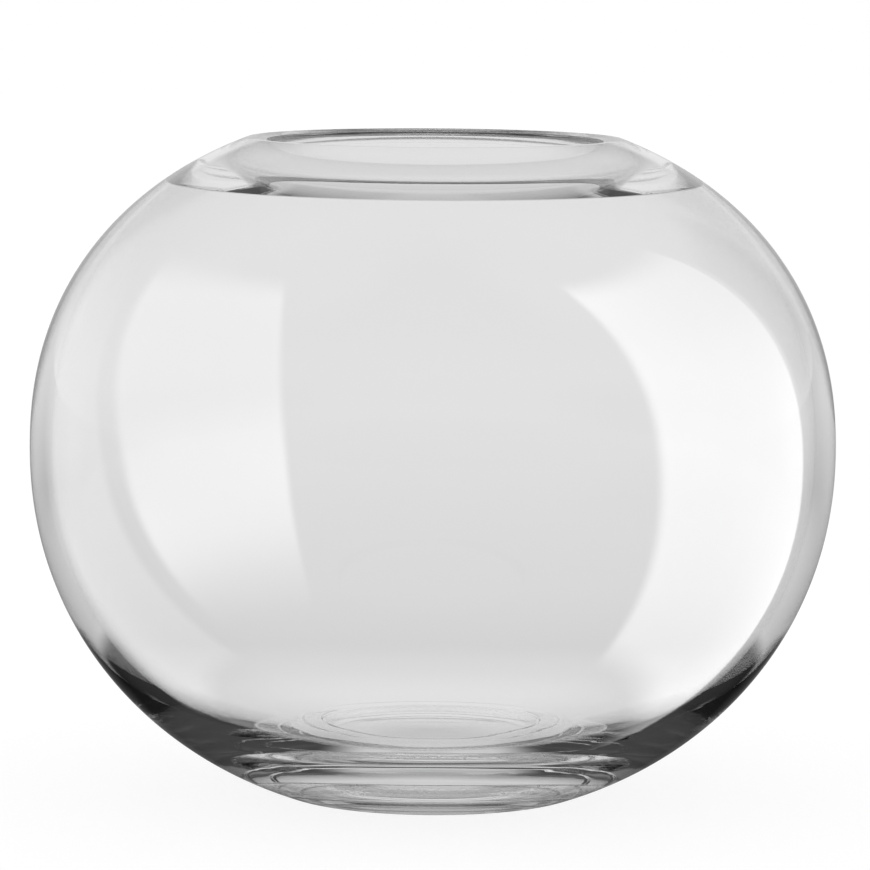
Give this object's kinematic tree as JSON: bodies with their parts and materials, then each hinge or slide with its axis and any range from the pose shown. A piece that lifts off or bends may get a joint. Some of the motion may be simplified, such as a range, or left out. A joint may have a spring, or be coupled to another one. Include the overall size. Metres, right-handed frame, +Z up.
{
  "type": "glass vase",
  "caption": "Round bubble vase of clear colourless glass with a full belly, a narrow mouth with a rounded lip, a thick solid base and a small flat foot; holds water and cut flowers.",
  "frame": {"origin": "middle of the foot, on the surface the vase stands on", "axes": "+Z up along the axis of the body, out of the mouth; the body is round, so +X and +Y only fix the frame, and the picture is taken from -Y"},
  "size_m": [0.2, 0.2, 0.1632],
  "materials": {
    "clear_glass": "clear, colourless, fire-polished gloss"
  },
  "bodies": {
    "root": {"vase_body": "clear_glass"}
  },
  "joints": []
}
